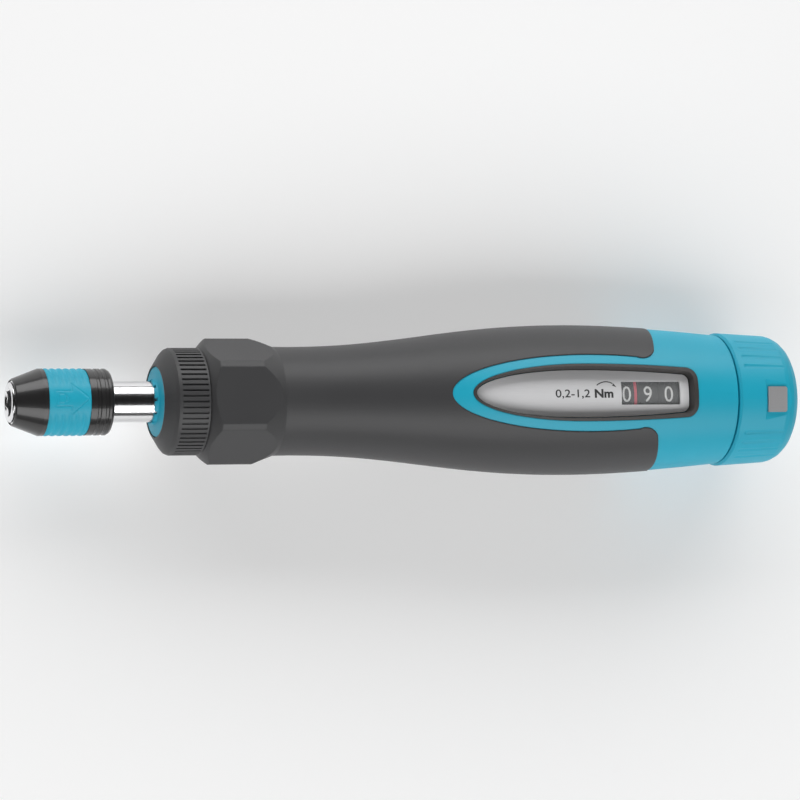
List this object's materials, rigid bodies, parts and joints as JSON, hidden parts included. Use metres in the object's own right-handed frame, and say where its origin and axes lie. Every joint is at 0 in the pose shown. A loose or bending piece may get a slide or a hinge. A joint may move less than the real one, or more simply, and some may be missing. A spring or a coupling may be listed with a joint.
{
  "type": "torque screwdriver",
  "caption": "Adjustable slip-clutch torque screwdriver: quick-release hex bit chuck, reversing ratchet ring, soft hex-fronted grip, torque counter window and locking end knob.",
  "frame": {"origin": "centre of the bit socket's mouth, on the tool axis", "axes": "+X along the tool axis from the socket towards the adjusting knob; +Z out through the counter window, upwards as the tool lies"},
  "size_m": [0.2139, 0.0398, 0.0386],
  "materials": {
    "shell": "satin turquoise moulding",
    "grip": "matt soft-touch",
    "black_frame": "matt",
    "label": "matt printed",
    "lens": "clear",
    "ring": "matt with pale digits",
    "chrome": "polished",
    "black_steel": "black oxide, satin",
    "steel": "turned",
    "spring_steel": "drawn wire",
    "bronze": "sintered",
    "selector": "fine matt",
    "dark_plastic": "plain",
    "slider": "satin"
  },
  "bodies": {
    "handle": {"handle_core": "shell", "soft_grip": "grip", "window_frame": "black_frame", "label_plate": "label", "counter_lens": "lens", "mechanism_tube": "steel", "front_bearing": "bronze", "clutch_thrust_race": "steel", "counter_carrier": "dark_plastic", "carrier_screws": "steel", "counter_spacer": "dark_plastic", "rear_cover": "dark_plastic", "lock_ring": "steel", "rear_retaining_ring": "steel", "main_spring": "spring_steel"},
    "ratchet_head": {"ratchet_housing": "dark_plastic", "front_bush": "shell", "selector_detent_pin": "steel", "clutch_hub": "steel", "pawl_pins": "steel", "cam_disc": "steel", "cam_disc_clip": "steel", "clutch_thrust_washer": "bronze"},
    "spindle": {"spindle": "chrome", "ratchet_wheel": "steel", "socket_magnet": "steel", "socket_lock_balls": "steel", "nose_circlip": "steel", "spring_seat_washer": "steel", "spring_seat_clip": "steel", "sleeve_spring": "spring_steel"},
    "chuck_sleeve": {"chuck_sleeve": "black_steel", "chuck_grip_band": "shell"},
    "selector": {"selector_ring": "selector"},
    "forward_pawl": {"forward_pawl": "steel"},
    "reverse_pawl": {"reverse_pawl": "steel"},
    "pressure_plate": {"pressure_plate": "steel", "clutch_balls": "steel", "ball_cage": "bronze"},
    "spring_nut": {"spring_nut": "steel", "main_spring_washer": "steel"},
    "knob": {"adjusting_knob": "shell", "knob_cap": "shell", "knob_screw": "steel", "adjusting_spindle": "steel", "adjuster_thrust_washer": "steel", "drive_pin": "steel", "drive_hub": "dark_plastic", "hundredths_ring": "ring"},
    "tenths_ring": {"tenths_ring": "ring"},
    "ones_ring": {"ones_ring": "ring"},
    "lock_slider": {"lock_slider": "slider"}
  },
  "joints": [
    {"name": "clutch_slip", "type": "hinge", "parent": "handle", "child": "ratchet_head", "pos_m": [0.05, 0, 0], "axis": [1, 0, 0], "continuous": true},
    {"name": "ratchet_turn", "type": "hinge", "parent": "ratchet_head", "child": "spindle", "pos_m": [0.04, 0, 0], "axis": [1, 0, 0], "continuous": true},
    {"name": "chuck_pull", "type": "slide", "parent": "spindle", "child": "chuck_sleeve", "axis": [1, 0, 0], "range_m": [0, 0.003], "stiffness_N_per_m": 800, "springref_m": -0.004, "deforming": ["sleeve_spring"]},
    {"name": "direction_select", "type": "hinge", "parent": "ratchet_head", "child": "selector", "pos_m": [0.044, 0, 0], "axis": [1, 0, 0], "range_deg": [-20, 20]},
    {"name": "forward_pawl_lift", "type": "hinge", "parent": "ratchet_head", "child": "forward_pawl", "pos_m": [0.0453, -0.0078, 0.00488], "axis": [-1, 0, 0], "range_deg": [0, 12], "stiffness_Nm_per_rad": 0.001, "springref_deg": -11.46},
    {"name": "reverse_pawl_lift", "type": "hinge", "parent": "ratchet_head", "child": "reverse_pawl", "pos_m": [0.0453, 0.0078, 0.00488], "axis": [1, 0, 0], "range_deg": [0, 12], "stiffness_Nm_per_rad": 0.001, "springref_deg": -11.46},
    {"name": "clutch_lift", "type": "slide", "parent": "handle", "child": "pressure_plate", "axis": [1, 0, 0], "range_m": [0, 0.0007], "stiffness_N_per_m": 9000, "springref_m": -0.006},
    {"name": "knob_turn", "type": "hinge", "parent": "handle", "child": "knob", "pos_m": [0.2, 0, 0], "axis": [1, 0, 0], "range_deg": [-2520, 1080]},
    {"name": "nut_travel", "type": "slide", "parent": "handle", "child": "spring_nut", "axis": [1, 0, 0], "range_m": [-0.003, 0.007], "deforming": ["main_spring"]},
    {"name": "tenths_turn", "type": "hinge", "parent": "handle", "child": "tenths_ring", "pos_m": [0.169, 0, 0], "axis": [1, 0, 0], "range_deg": [-252.01, 108.01]},
    {"name": "ones_turn", "type": "hinge", "parent": "handle", "child": "ones_ring", "pos_m": [0.163, 0, 0], "axis": [1, 0, 0], "range_deg": [-25.21, 10.81]},
    {"name": "lock_slide", "type": "slide", "parent": "knob", "child": "lock_slider", "axis": [1, 0, 0], "range_m": [0, 0.003]}
  ],
  "couplings": [
    {"joint": "nut_travel", "follows": "knob_turn", "m_per_rad": -0.00015915},
    {"joint": "tenths_turn", "follows": "knob_turn", "ratio": 0.1},
    {"joint": "ones_turn", "follows": "knob_turn", "ratio": 0.01}
  ]
}
